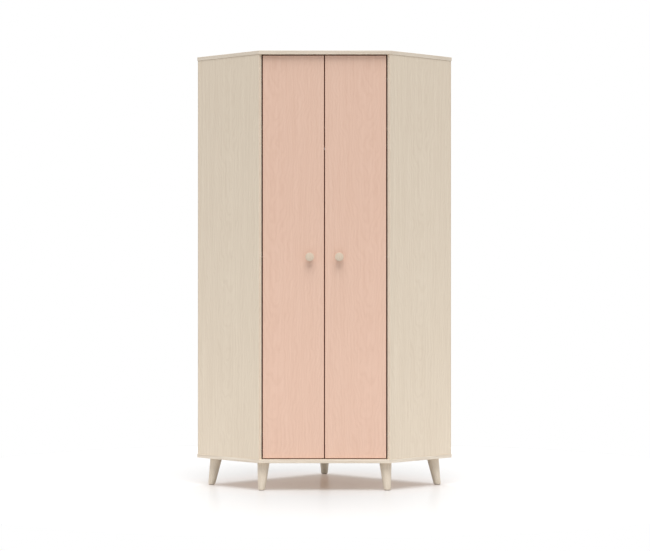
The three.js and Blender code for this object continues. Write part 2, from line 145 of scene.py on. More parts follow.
# How far a face points one way, from where one finish ends to where the next is full
# The first two ranges mask the doors' arrises, which take the painted shade of the door gaps.
FRONT_TO_ARRIS = (0.97, 0.9)
EDGE_TO_ARRIS = (0.2, 0.4)
FACE_TO_BAND = (0.9, 0.6)
PRINT_TO_BARE = (0.2, 0.5)

# Wear: what of its noise shows, then the size of its patches and the roughness, low and high
PATCH_RANGE = (0.35, 0.65)
LAMINATE_WEAR = (0.12, 0.38, 0.5)
FIBREBOARD_WEAR = (0.04, 0.68, 0.86)
TURNED_WEAR = (0.02, 0.36, 0.5)
PLASTIC_WEAR = (0.006, 0.45, 0.65)

# A Mix node's factor and colours among its inputs, and its mixed colour
MIX_INPUTS = (0, 6, 7)
MIX_RESULT = 2

# The metals: the start of their colours' names, and their wear
METALS = {
    "nickel_plate": ("steel", (0.012, 0.26, 0.42)),
    # The arms' metal is darkened steel, painted shade for the door gaps.
    "burnished_steel": ("arm", (0.012, 0.34, 0.5)),
    "chrome_plate": ("chrome", (0.05, 0.07, 0.16)),
}


# Places that come from the frame

Ring = namedtuple("Ring", ("height", "centre", "radius"))


def middle(node):
    low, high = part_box(node)
    return (low + high) / 2


top_low, top_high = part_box("top_panel")
OUTER_SETBACK = top_high.y - top_low.y - top_high.x
FRONT_HALF = top_high.x - OUTER_SETBACK

# An end place starts at a front corner: x runs back along the end panel, y inward.
END_PLACE = Matrix.Translation((FRONT_HALF, top_low.y, 0)) @ Matrix.Rotation(pi / 4, 4, "Z")

# A wall place starts at an outer corner: x runs along the wall to the room's corner, y inward.
WALL_PLACE = Matrix.Translation((top_high.x, top_low.y + OUTER_SETBACK, 0)) @ Matrix.Rotation(
    3 * pi / 4, 4, "Z"
)


def corners(points):
    """Lowest and highest corner of a list of points."""
    return Vector(map(min, zip(*points))), Vector(map(max, zip(*points)))


def measured(node, place):
    """Lowest and highest corner of a right-hand CAD node, in a turned place."""
    back = place.inverted()
    return corners([back @ vert.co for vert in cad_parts[node].data.vertices])


def rings(node):
    """The level rings of an upright turned CAD node, from the bottom."""
    levels = {}
    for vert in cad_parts[node].data.vertices:
        levels.setdefault(round(vert.co.z, LEVEL_DIGITS), []).append(vert.co)
    found = []
    for height, points in sorted(levels.items()):
        low, high = corners(points)
        found.append(Ring(height, (low + high) / 2, (high.x - low.x) / 2))
    return found


# Settings that a user would change

def tone(red, green, blue):
    """A colour given in display values from 0 to 255, as the shaders read it."""
    shares = (red / 255, green / 255, blue / 255)
    return tuple(((share + 0.055) / 1.055) ** 2.4 for share in shares)


def setting(kind, **limits):
    """Makes a maker of properties of one kind."""
    def make(name, description, default):
        return kind(name=name, description=description, default=default, **limits)

    return make


length = setting(FloatProperty, min=0, unit="LENGTH", precision=5)
angle = setting(FloatProperty, subtype="ANGLE")
number = setting(FloatProperty)
amount = setting(FloatProperty, min=0)
portion = setting(FloatProperty, min=0, max=1)
colour = setting(FloatVectorProperty, min=0, max=1, size=3, subtype="COLOR")
faces = setting(IntProperty, min=16, max=128)


class WardrobeColours(bpy.types.PropertyGroup):
    """Colours of the finishes."""

    carcass_pale: colour("Carcass, pale", "Pale wood of the carcass laminate", tone(231, 217, 197))
    carcass_dark: colour("Carcass, dark", "Grain of the carcass laminate", tone(219, 203, 182))
    edge_pale: colour("Edge band, pale", "Pale wood of the edge bands", tone(234, 223, 207))
    edge_dark: colour("Edge band, dark", "Grain of the edge bands", tone(210, 195, 176))
    door_pale: colour("Door, pale", "Ground of the door laminate", tone(229, 194, 174))
    door_dark: colour("Door, dark", "Grain of the door laminate", tone(220, 183, 162))
    # Painted shade: this dark brown on the doors' arrises stands in for the shade in the gaps round
    # the doors, as well as for the laminate's dark core.
    door_arris_shade: colour("Door, cut line", "Core of the laminate at the arrises", tone(146, 66, 24))
    # Painted light: the legs and knobs are one wood, but the legs' colours are painted paler to
    # make up for the shade under the wardrobe, and the knobs' darker for the full light on the
    # doors.
    leg_pale: colour("Legs, pale", "Pale wood of the legs", tone(231, 219, 202))
    leg_dark: colour("Legs, dark", "Grain of the legs", tone(212, 196, 175))
    knob_pale: colour("Knobs, pale", "Pale wood of the knobs", tone(220, 204, 185))
    knob_dark: colour("Knobs, dark", "Grain of the knobs", tone(201, 181, 158))
    raw_pale: colour("Fibreboard, pale", "Fibres of the bare fibreboard", tone(180, 147, 112))
    raw_dark: colour("Fibreboard, dark", "Ground of the bare fibreboard", tone(156, 121, 88))
    steel_pale: colour("Steel, pale", "Bright nickel plate", tone(214, 212, 207))
    steel_dark: colour("Steel, dark", "Dull nickel plate", tone(190, 188, 184))
    # Painted shade: the arms' steel is darkened so that it shows as shade in the door gaps, not as
    # a burnished or oiled finish.
    arm_pale: colour("Hinge arm, pale", "Burnished steel of the arms", tone(156, 151, 144))
    arm_dark: colour("Hinge arm, dark", "Oiled steel of the arms", tone(128, 124, 118))
    chrome_pale: colour("Chrome, pale", "Bright chrome plate", tone(232, 234, 237))
    chrome_dark: colour("Chrome, dark", "Fingered chrome plate", tone(214, 217, 221))
    plastic_pale: colour("Plastic, pale", "Bloom on the glides", tone(188, 180, 167))
    plastic_dark: colour("Plastic, dark", "Ground of the glides", tone(168, 159, 146))


class WardrobeGrain(bpy.types.PropertyGroup):
    """Scale and depth of the grain."""

    laminate_width: length("Laminate fibre", "Width of a fibre in the laminates", 3.8 * MM)
    laminate_length: length("Laminate fibre length", "Length of a fibre in the laminates", 90 * MM)
    ring_spacing: length("Ring spacing", "Between two growth rings of the laminates", 11 * MM)
    heart_depth: length("Heart depth", "Depth of the heart behind the laminates", 45 * MM)
    door_emboss: length("Door emboss", "Depth of the doors' embossed grain", 0.35 * MM)
    door_figure: portion("Door figure", "Share of the rings in the doors' grain", 0.35)
    carcass_emboss: length("Carcass emboss", "Depth of the carcass's embossed grain", 0.12 * MM)
    carcass_figure: portion("Carcass figure", "Share of the rings in the carcass's grain", 0.3)
    turned_width: length("Turned fibre", "Width of a fibre in the turned wood", 0.9 * MM)
    turned_length: length("Turned fibre length", "Length of a fibre in the turned wood", 28 * MM)
    turned_rings: length("Turned rings", "Between two growth rings of the turned wood", 4.5 * MM)
    turned_heart: length("Turned heart", "Depth of the heart behind the turned wood", 12 * MM)
    turned_emboss: length("Turned emboss", "Depth of the turned wood's grain", 0.06 * MM)
    turned_figure: portion("Turned figure", "Share of the rings in the turned wood", 0.3)
    raw_emboss: length("Fibreboard emboss", "Depth of the bare fibreboard's fibres", 0.1 * MM)
    plate_emboss: length("Plate emboss", "Depth of the marks on the plate", 0.01 * MM)
    plastic_emboss: length("Plastic emboss", "Depth of the glides' stipple", 0.03 * MM)


class WardrobeSizes(bpy.types.PropertyGroup):
    """Sizes of the small pieces that the frame leaves open."""

    facets: faces("Facets", "Faces round a turned piece", 64)
    clearance: length("Clearance", "Between pieces that sit in one another", 0.3 * MM)
    leg_fullness: length("Leg fullness", "What a leg's radius has over its CAD node", 1.2 * MM)
    leg_arris: length("Leg arris", "Rounding of a leg's top and foot", 1.2 * MM)
    knob_rim: length("Knob rim", "Rounding of a knob's rim", 1.6 * MM)
    knob_head: length("Knob head", "Thickness of a knob's head", 10 * MM)
    knob_neck: length("Knob neck", "Radius of a knob's neck", 8 * MM)
    knob_foot: length("Knob foot", "Radius of a knob's foot", 9.5 * MM)
    knob_sole: length("Knob sole", "Thickness of a knob's foot", 1.5 * MM)
    knob_edge: length("Knob edge", "Rounding of a knob's foot", 0.6 * MM)
    knob_dome: length("Knob dome", "Height of the dome on a knob's face", 1.6 * MM)
    screw_bore: length("Screw bore", "Radius of the bore for a knob's screw", 2.3 * MM)
    screw_bite: length("Screw bite", "Depth of the screw's bore in a knob", 13.3 * MM)
    glide_rim: length("Glide rim", "Rounding of a glide's rim", 0.9 * MM)
    rail_wall: length("Rail wall", "Wall of the hanging rail's tube", 1.2 * MM)
    fitting_edge: length("Fitting edge", "Rounding of the pressed fittings' edges", 0.25 * MM)
    screw_head: length("Screw head", "Radius of a fitting's screw head", 3.4 * MM)
    screw_rise: length("Screw rise", "Height of a fitting's screw head", 1.5 * MM)
    cam_radius: length("Cam radius", "Radius of a cam fitting", 7.5 * MM)
    cam_rise: length("Cam rise", "Height of a cam fitting on its board", 0.7 * MM)
    cam_end: length("Cam distance", "From a board's end to its cam fitting", 34 * MM)
    nail_radius: length("Nail head", "Radius of a nail head", 2.2 * MM)
    nail_rise: length("Nail rise", "Height of a nail head", 0.5 * MM)
    nail_spacing: length("Nail spacing", "Between two nails of a back panel", 150 * MM)


class WardrobeStudio(bpy.types.PropertyGroup):
    """Camera, lamps and floor."""

    distance: length("Camera distance", "From the camera to the wardrobe's middle", 9.4118)
    height: length("Camera height", "Height of the level camera", 0.9307)
    lens: amount("Lens", "Focal length in millimetres", 115.5)
    sensor: amount("Sensor", "Width of the sensor in millimetres", 36)
    shift_right: number("Shift right", "Shift of the picture, in picture widths", 0.0008)
    shift_up: number("Shift up", "Shift of the picture, in picture widths", -0.0004)
    front_sun: amount("Front sun", "Irradiance of the soft sun in front", 2.48)
    front_rise: angle("Front rise", "Height of the front sun above the horizon", radians(65.5))
    front_width: angle("Front width", "Angle that the front sun fills", radians(42))
    sun_turn: angle("Sun turn", "Turn of the front sun to the right", radians(4))
    back_sun: amount("Back sun", "Irradiance of the sun behind, on the floor alone", 2.15)
    back_rise: angle("Back rise", "Height of the back sun above the horizon", radians(70))
    back_width: angle("Back width", "Angle that the back sun fills", radians(45))
    sky_strength: amount("Sky strength", "Even light from all round", 0.585)
    floor_radius: length("Floor radius", "Radius of the round floor", 2.0)
    floor_shade: colour("Floor shade", "Floor's matt coat, as the camera sees it", 3 * (0.54,))
    floor_bounce: colour("Floor bounce", "Floor's matt coat, in its bounced light", 3 * (0.5,))
    floor_gloss: portion("Floor gloss", "Share of the floor's polish", 0.14)
    floor_blur: portion("Floor blur", "Roughness of the floor's polish", 0.2)
    floor_lift: amount("Floor lift", "White that the camera sees on the floor", 0.09)
    # Painted light: the floor glows in this warm colour where the wardrobe shades it, standing in
    # for the bounce from its underside.
    shadow_tint: colour("Shadow tint", "Warm light in the wardrobe's shadow", (0.17, 0.08, 0.033))
    shadow_reach: length("Shadow reach", "How far the warm light reaches", 0.3)


# Mesh helpers

def rounded(bm, geom, size, steps, affect):
    bmesh.ops.bevel(
        bm,
        geom=geom,
        offset=size,
        offset_type="OFFSET",
        segments=steps,
        profile=0.5,
        affect=affect,
        clamp_overlap=True,
        material=-1,
    )


def profile_wire(points):
    """A bmesh with one open wire in the plane of x and z. A point is (x, z) or (x, z, rounding)."""
    bm = bmesh.new()
    corners = [bm.verts.new((point[0], 0, point[1])) for point in points]
    for pair in zip(corners, corners[1:]):
        bm.edges.new(pair)
    for corner, (_, _, *rounding) in zip(corners, points):
        if rounding:
            rounded(bm, [corner], rounding[0], PROFILE_STEPS, "VERTICES")
    return bm


def turned(points, facets):
    """A solid turned about z. Its profile starts and ends on the axis, or closes on itself."""
    bm = profile_wire(points)
    bmesh.ops.spin(
        bm,
        geom=bm.verts[:] + bm.edges[:],
        cent=(0, 0, 0),
        axis=(0, 0, 1),
        dvec=(0, 0, 0),
        angle=FULL_TURN,
        steps=facets,
        use_merge=True,
        use_duplicate=False,
    )
    bmesh.ops.remove_doubles(bm, verts=bm.verts[:], dist=MERGE_DISTANCE)
    return bm


def arc(centre, radius, start, end):
    """Points of an arc in the plane of x and z, with angles in degrees from x."""
    found = []
    for i in range(ARC_STEPS + 1):
        turn = radians(start + (end - start) * i / ARC_STEPS)
        found.append((centre[0] + radius * cos(turn), centre[1] + radius * sin(turn)))
    return found


def move(bm, matrix):
    bmesh.ops.transform(bm, matrix=matrix, verts=bm.verts[:])
    return bm


def leaned(bm, start, end):
    """Shears an upright turned shape, so that its axis runs through two rings."""
    lean = (end.centre - start.centre) / (end.height - start.height)
    shear = Matrix.Identity(4)
    shear[0][2], shear[1][2] = lean.x, lean.y
    foot = start.centre - lean * start.height
    return move(bm, Matrix.Translation((foot.x, foot.y, 0)) @ shear)


def gathered(parts):
    """One bmesh that holds several."""
    whole = bmesh.new()
    for part in parts:
        mesh = bpy.data.meshes.new("part")
        part.to_mesh(mesh)
        part.free()
        whole.from_mesh(mesh)
        bpy.data.meshes.remove(mesh)
    return whole


def mark_grain(bm):
    """Keeps each point's place on the lathe, which the turned wood's grain follows."""
    layer = bm.verts.layers.float_vector.new(GRAIN_PLACE)
    for vert in bm.verts:
        vert[layer] = vert.co
    return bm


def crossed_head(radius, rise):
    """A low round head about z on the level z = 0, with a cross recess."""
    bm = bmesh.new()
    arm, half = CROSS_ARM * radius, CROSS_HALF * radius
    quarter = [(arm, -half), (arm, half), (half, half)]
    cross = []
    for turn in range(4):
        spin = Matrix.Rotation(turn * pi / 2, 2)
        cross += [bm.verts.new((*(spin @ Vector(point)), rise)) for point in quarter]
    recess = bm.faces.new(cross)
    rim = bmesh.ops.create_circle(
        bm, segments=HEAD_FACETS, radius=HEAD_FLAT * radius, cap_ends=False
    )["verts"]
    bmesh.ops.translate(bm, vec=(0, 0, rise), verts=rim)
    rim_edges = list({edge for vert in rim for edge in vert.link_edges})
    bmesh.ops.bridge_loops(bm, edges=list(recess.edges) + rim_edges)
    for ring_radius, height in ((radius, HEAD_SHOULDER * rise), (radius, 0)):
        grown = bmesh.ops.extrude_edge_only(bm, edges=rim_edges)["geom"]
        rim = [item for item in grown if isinstance(item, bmesh.types.BMVert)]
        rim_edges = [item for item in grown if isinstance(item, bmesh.types.BMEdge)]
        for vert in rim:
            vert.co = vert.co.xy.normalized().to_3d() * ring_radius + Vector((0, 0, height))
    rim_edges = [edge for edge in bm.edges if all(vert.co.z == 0 for vert in edge.verts)]
    bmesh.ops.contextual_create(bm, geom=rim_edges)
    sunk = bmesh.ops.extrude_face_region(bm, geom=[recess])["geom"]
    floor = [item for item in sunk if isinstance(item, bmesh.types.BMVert)]
    bmesh.ops.delete(bm, geom=[recess], context="FACES_ONLY")
    bmesh.ops.translate(bm, vec=(0, 0, -CROSS_DEPTH * rise), verts=floor)
    bmesh.ops.scale(bm, vec=(CROSS_TAPER, CROSS_TAPER, 1), verts=floor)
    return bm


def heads_at(spots, place, turn, side, make, *sizes):
    """Turned heads at spots of a right-hand place, as they stand on a side."""
    heads = []
    for spot in spots:
        head = move(make(*sizes), turn)
        move(head, place @ Matrix.Translation(spot))
        bmesh.ops.scale(head, vec=(SIDES[side], 1, 1), verts=head.verts[:])
        heads.append(head)
    return gathered(heads)


def linked(name, data):
    """An object in the scene."""
    made = bpy.data.objects.new(name, data)
    bpy.context.scene.collection.objects.link(made)
    return made


def shown(bm, name, material):
    """Makes a bmesh an object with one material."""
    mesh = bpy.data.meshes.new(name)
    bm.to_mesh(mesh)
    bm.free()
    mesh.materials.append(material)
    return linked(name, mesh)


def piece(bm, name, body, material, stands_for=()):
    """Makes a bmesh a shaded piece that rides on a body and stands for CAD nodes."""
    bmesh.ops.remove_doubles(bm, verts=bm.verts[:], dist=MERGE_DISTANCE)
    bmesh.ops.recalc_face_normals(bm, faces=bm.faces[:])
    for face in bm.faces:
        face.smooth = True
    for edge in bm.edges:
        edge.smooth = edge.calc_face_angle(0) < SHARP_ANGLE
    made = shown(bm, name, material)
    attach(made, body)
    if stands_for:
        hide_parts(*stands_for)


def pressed(node, name, body, material):
    """Makes a merged copy of a CAD node, with its edges rounded, a piece that stands for it."""
    bm = bmesh.new()
    bm.from_mesh(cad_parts[node].data)
    bmesh.ops.remove_doubles(bm, verts=bm.verts[:], dist=SHORTEST_EDGE)
    bmesh.ops.dissolve_degenerate(bm, dist=SHORTEST_EDGE, edges=bm.edges[:])
    bmesh.ops.dissolve_limit(
        bm,
        angle_limit=FLAT_ANGLE,
        use_dissolve_boundaries=False,
        verts=bm.verts[:],
        edges=bm.edges[:],
    )
    edges = [
        edge
        for edge in bm.edges
        if len(edge.link_faces) == 2 and edge.calc_face_angle() > ROUNDED_ANGLE
    ]
    rounded(bm, edges, bpy.context.scene.wardrobe_sizes.fitting_edge, EDGE_STEPS, "EDGES")
    piece(bm, name, body, material, [node])


# Node helpers

def feed(tree, socket, value):
    if isinstance(value, bpy.types.NodeSocket):
        tree.links.new(value, socket)
    else:
        socket.default_value = value


def put(tree, kind, inputs=None, **settings):
    """A new node with its settings, and a value or a link for each named input."""
    node = tree.nodes.new("ShaderNode" + kind)
    for name, value in settings.items():
        setattr(node, name, value)
    for name, value in (inputs or {}).items():
        feed(tree, node.inputs[name], value)
    return node


def calc(tree, operation, *values, kind="Math"):
    node = put(tree, kind, operation=operation)
    for socket, value in zip(node.inputs, values):
        feed(tree, socket, value)
    return node.outputs[0]


def noise(tree, vector, size, detail=2.0, roughness=0.5, distortion=0.0):
    """Noise with spots of a width, a depth and a length."""
    spot = put(tree, "CombineXYZ", dict(zip("XYZ", size))).outputs[0]
    place = calc(tree, "DIVIDE", vector, spot, kind="VectorMath")
    labels = ("Vector", "Scale", "Detail", "Roughness", "Distortion")
    values = (place, 1.0, detail, roughness, distortion)
    return put(tree, "TexNoise", dict(zip(labels, values))).outputs[0]


def span(tree, value, low, high, to_low=0.0, to_high=1.0):
    labels = ("Value", "From Min", "From Max", "To Min", "To Max")
    values = (value, low, high, to_low, to_high)
    return put(tree, "MapRange", dict(zip(labels, values))).outputs[0]


def blended(tree, share, first, second):
    node = put(tree, "Mix", data_type="RGBA")
    for index, value in zip(MIX_INPUTS, (share, first, second)):
        feed(tree, node.inputs[index], value)
    return node.outputs[MIX_RESULT]


def facing(tree, axis):
    """How far the surface points along an axis, from -1 to 1."""
    normal = put(tree, "TexCoord").outputs["Normal"]
    return put(tree, "SeparateXYZ", {"Vector": normal}).outputs[axis]


def new_group(name, inputs, outputs):
    """A shader node group: its tree, its inputs, and the sockets that take its outputs."""
    tree = bpy.data.node_groups.new(name, "ShaderNodeTree")
    for label, kind, default in inputs:
        socket = tree.interface.new_socket(
            name=label, in_out="INPUT", socket_type="NodeSocket" + kind
        )
        socket.default_value = default
    for label, kind in outputs:
        tree.interface.new_socket(name=label, in_out="OUTPUT", socket_type="NodeSocket" + kind)
    return tree, tree.nodes.new("NodeGroupInput").outputs, tree.nodes.new("NodeGroupOutput").inputs


def placed_group(tree, name, make, inputs):
    """The outputs of a group, which is made the first time it is asked for."""
    group = bpy.data.node_groups.get(name) or make()
    return put(tree, "Group", inputs, node_tree=group).outputs


# Effects that several finishes share

def wood_grain_group():
    """Fibres along z with growth rings that peak along z, as on a flat-sawn board."""
    tree, given, result = new_group(
        "wood_grain",
        (
            ("Vector", "Vector", (0, 0, 0)),
            ("Fibre Width", "Float", 0.002),
            ("Fibre Length", "Float", 0.09),
            ("Ring Spacing", "Float", 0.011),
            ("Heart Depth", "Float", 0.045),
            ("Ring Share", "Float", 0.4),
            ("Pore Share", "Float", 0.4),
            ("Pale", "Color", (1, 1, 1, 1)),
            ("Dark", "Color", (0.5, 0.5, 0.5, 1)),
        ),
        (("Color", "Color"), ("Height", "Float")),
    )
    vector, width, fibre = given["Vector"], given["Fibre Width"], given["Fibre Length"]

    def spots(size, detail):
        wide = calc(tree, "MULTIPLY", width, size[0])
        long = calc(tree, "MULTIPLY", fibre, size[1])
        return noise(tree, vector, (wide, wide, long), detail)

    fibres = noise(tree, vector, (width, width, fibre), detail=3.0, roughness=0.65)
    bands = spots(BAND_SIZE, detail=2.0)
    pores = span(tree, spots(PORE_SIZE, detail=1.0), *PORE_RANGE)
    long = calc(tree, "MULTIPLY", fibre, WOBBLE_LENGTH)
    wobble = noise(tree, vector, (WOBBLE_WIDTH, WOBBLE_WIDTH, long))
    parts = put(tree, "SeparateXYZ", {"Vector": vector}).outputs
    across = calc(tree, "MULTIPLY", parts["X"], parts["X"])
    depth = calc(tree, "MULTIPLY", given["Heart Depth"], given["Heart Depth"])
    distance = calc(tree, "SQRT", calc(tree, "ADD", across, depth))
    leaning = calc(tree, "MULTIPLY_ADD", parts["Z"], RING_LEAN, distance)
    wavy = calc(tree, "MULTIPLY_ADD", wobble, WOBBLE_DEPTH, leaning)
    turns = calc(tree, "DIVIDE", wavy, given["Ring Spacing"])
    wave = calc(tree, "SINE", calc(tree, "MULTIPLY", turns, FULL_TURN))
    figure = calc(tree, "POWER", span(tree, wave, -1.0, 1.0), RING_SHARPNESS)
    fine = calc(tree, "MULTIPLY", fibres, 1 - BAND_SHARE)
    ground = span(tree, calc(tree, "MULTIPLY_ADD", bands, BAND_SHARE, fine), *GROUND_RANGE)
    ringed = calc(tree, "MULTIPLY", figure, given["Ring Share"])
    pored = calc(tree, "MULTIPLY", pores, given["Pore Share"])
    plain = calc(tree, "MULTIPLY", ground, calc(tree, "SUBTRACT", 1.0, given["Ring Share"]))
    mixed = calc(tree, "ADD", calc(tree, "ADD", plain, ringed), pored)
    feed(tree, result["Color"], blended(tree, mixed, given["Pale"], given["Dark"]))
    feed(tree, result["Height"], calc(tree, "SUBTRACT", 1.0, mixed))
    return tree


def handling_group():
    """A roughness that drifts between two values over the surface, as handling leaves it."""
    tree, given, result = new_group(
        "handling",
        (
            ("Vector", "Vector", (0, 0, 0)),
            ("Patch Size", "Float", 0.1),
            ("Smooth", "Float", 0.3),
            ("Rough", "Float", 0.5),
        ),
        (("Roughness", "Float"), ("Patches", "Float")),
    )
    size = given["Patch Size"]
    patches = noise(tree, given["Vector"], (size, size, size), detail=4.0, roughness=0.6)
    share = span(tree, patches, *PATCH_RANGE)
    feed(tree, result["Roughness"], span(tree, share, 0.0, 1.0, given["Smooth"], given["Rough"]))
    feed(tree, result["Patches"], share)
    return tree


# Finishes

def solid(values):
    """A property's colour with full alpha."""
    return (*values, 1.0)


def pale_and_dark(finish):
    colours = bpy.context.scene.wardrobe_colours
    return [solid(getattr(colours, finish + end)) for end in ("_pale", "_dark")]


def new_material(name):
    """A material, its tree, its shader and its object coordinates."""
    material = bpy.data.materials.new(name)
    material.use_nodes = True
    tree = material.node_tree
    shader = tree.nodes["Principled BSDF"]
    place = put(tree, "TexCoord").outputs["Object"]
    return material, tree, shader, place


def roughened(tree, shader, place, patch, smooth, rough):
    """Gives a shader the handling group's roughness, and returns the group's patches."""
    inputs = {"Vector": place, "Patch Size": patch, "Smooth": smooth, "Rough": rough}
    made = placed_group(tree, "handling", handling_group, inputs)
    feed(tree, shader.inputs["Roughness"], made["Roughness"])
    return made["Patches"]


def coated(tree, shader, base, height, finish):
    """Gives a shader its base colour, and bumps as deep as the finish is embossed."""
    depth = getattr(bpy.context.scene.wardrobe_grain, finish + "_emboss")
    bump = put(tree, "Bump", {"Strength": 1.0, "Distance": depth, "Height": height})
    feed(tree, shader.inputs["Base Color"], base)
    feed(tree, shader.inputs["Normal"], bump.outputs[0])


def grain(tree, place, finish, **changes):
    """The grain group's outputs, in a finish's colours and the laminates' scale unless changed."""
    settings = bpy.context.scene.wardrobe_grain
    pale, dark = pale_and_dark(finish)
    inputs = {
        "Vector": place,
        "Fibre Width": settings.laminate_width,
        "Fibre Length": settings.laminate_length,
        "Ring Spacing": settings.ring_spacing,
        "Heart Depth": settings.heart_depth,
        "Pale": pale,
        "Dark": dark,
        **changes,
    }
    return placed_group(tree, "wood_grain", wood_grain_group, inputs)


def upright_laminate(name, finish, heart, turn, line=None):
    """A laminate with upright grain that peaks at its heart. A line is a dark colour painted on its
    arrises: the laminate's core, and painted shade of the gaps beside them.
    """
    material, tree, shader, place = new_material(name)
    inputs = {"Vector": place, "Location": heart, "Rotation": (0, 0, turn)}
    mapping = put(tree, "Mapping", inputs, vector_type="TEXTURE")
    share = getattr(bpy.context.scene.wardrobe_grain, finish + "_figure")
    made = grain(tree, mapping.outputs[0], finish, **{"Ring Share": share})
    base = made["Color"]
    # Painted shade: the arrises, faces that point neither straight ahead nor sideways, take the
    # line's dark colour, which stands for the shade in the door gaps.
    if line is not None:
        front = calc(tree, "ABSOLUTE", facing(tree, "Y"))
        ends = (span(tree, front, *FRONT_TO_ARRIS), span(tree, front, *EDGE_TO_ARRIS))
        base = blended(tree, calc(tree, "MULTIPLY", *ends), base, solid(line))
    roughened(tree, shader, place, *LAMINATE_WEAR)
    coated(tree, shader, base, made["Height"], finish)
    return material


def level_laminate():
    """A laminate whose grain lies along x, with an edge band whose grain follows the rim."""
    material, tree, shader, place = new_material("level_laminate")
    inputs = {"Vector": place, "Rotation": (0, pi / 2, pi / 2)}
    mapping = put(tree, "Mapping", inputs, vector_type="POINT")
    face = grain(tree, mapping.outputs[0], "carcass")
    width, fibre = BAND_FIBRE
    changes = {"Fibre Width": width, "Fibre Length": fibre, "Ring Share": 0.0}
    band = grain(tree, place, "edge", **changes)
    rim = span(tree, calc(tree, "ABSOLUTE", facing(tree, "Z")), *FACE_TO_BAND)
    roughened(tree, shader, place, *LAMINATE_WEAR)
    base = blended(tree, rim, face["Color"], band["Color"])
    coated(tree, shader, base, face["Height"], "carcass")
    return material


def back_fibreboard():
    """Fibreboard with grain printed on its inner face, and bare on its outer one."""
    material, tree, shader, place = new_material("printed_fibreboard")
    printed = grain(tree, place, "carcass")
    fibres = noise(tree, place, FIBRES, detail=6.0, roughness=0.75, distortion=1.2)
    clouds = calc(tree, "MULTIPLY", noise(tree, place, CLOUDS, detail=3.0), CLOUD_SHARE)
    mottle = calc(tree, "MULTIPLY_ADD", fibres, FIBRE_SHARE, clouds)
    pale, dark = pale_and_dark("raw")
    bare = blended(tree, span(tree, mottle, *MOTTLE_RANGE), dark, pale)
    outward = span(tree, facing(tree, "Y"), *PRINT_TO_BARE)
    base = blended(tree, outward, printed["Color"], bare)
    roughened(tree, shader, place, *FIBREBOARD_WEAR)
    coated(tree, shader, base, calc(tree, "MULTIPLY", mottle, outward), "raw")
    return material


def turned_wood(finish):
    """Wood whose grain follows the place on the lathe."""
    material, tree, shader, _ = new_material(finish + "_wood")
    settings = bpy.context.scene.wardrobe_grain
    place = put(tree, "Attribute", attribute_name=GRAIN_PLACE).outputs["Vector"]
    changes = {
        "Fibre Width": settings.turned_width,
        "Fibre Length": settings.turned_length,
        "Ring Spacing": settings.turned_rings,
        "Heart Depth": settings.turned_heart,
        "Ring Share": settings.turned_figure,
    }
    made = grain(tree, place, finish, **changes)
    roughened(tree, shader, place, *TURNED_WEAR)
    coated(tree, shader, made["Color"], made["Height"], "turned")
    return material


def metal(name):
    """A metal with a drift in its tone and its gloss, made the first time it is asked for."""
    if name in bpy.data.materials:
        return bpy.data.materials[name]
    finish, wear = METALS[name]
    material, tree, shader, place = new_material(name)
    patches = roughened(tree, shader, place, *wear)
    marks = noise(tree, place, MARKS)
    patched = calc(tree, "MULTIPLY", patches, PATCH_SHARE)
    dull = calc(tree, "MULTIPLY_ADD", marks, MARK_SHARE, patched)
    pale, dark = pale_and_dark(finish)
    shader.inputs["Metallic"].default_value = 1.0
    coated(tree, shader, blended(tree, dull, pale, dark), marks, "plate")
    return material


def glide_plastic():
    material, tree, shader, place = new_material("mottled_plastic")
    patches = roughened(tree, shader, place, *PLASTIC_WEAR)
    pale, dark = pale_and_dark("plastic")
    base = blended(tree, patches, dark, pale)
    coated(tree, shader, base, noise(tree, place, STIPPLE), "plastic")
    return material


def dress(material, *nodes):
    """Gives CAD nodes a material."""
    for node in nodes:
        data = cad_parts[node].data
        data.materials.clear()
        data.materials.append(material)


# Operators

class WARDROBE_OT_carcass_finish(bpy.types.Operator):
    """Gives the carcass boards their bleached laminate and edge bands"""

    bl_idname = "wardrobe.carcass_finish"
    bl_label = "Finish the carcass"

    def execute(self, context):
        dress(level_laminate(), "top_panel", "bottom_panel", "hat_shelf")
        for side, sign in SIDES.items():
            for board, laminate, height, turn in (
                (side + "_end_panel", side + "_end_laminate", END_HEART, sign * pi / 4),
                (side + "_rear_stile", side + "_stile_laminate", STILE_HEART, -sign * pi / 4),
            ):
                place = middle(board)
                heart = (place.x, place.y, height)
                dress(upright_laminate(laminate, "carcass", heart, turn), board)
        dress(back_fibreboard(), "left_back_panel", "right_back_panel")
        return {"FINISHED"}


class WARDROBE_OT_door_finish(bpy.types.Operator):
    """Gives the doors their pink laminate with its embossed grain"""

    bl_idname = "wardrobe.door_finish"
    bl_label = "Finish the doors"

    def execute(self, context):
        # The doors' arrises get the dark brown of painted gap shade.
        line = context.scene.wardrobe_colours.door_arris_shade
        for side, across in DOOR_HEARTS.items():
            door = side + "_door"
            heart = (across, middle(door).y, 0.0)
            dress(upright_laminate(door + "_laminate", "door", heart, 0.0, line), door)
        return {"FINISHED"}


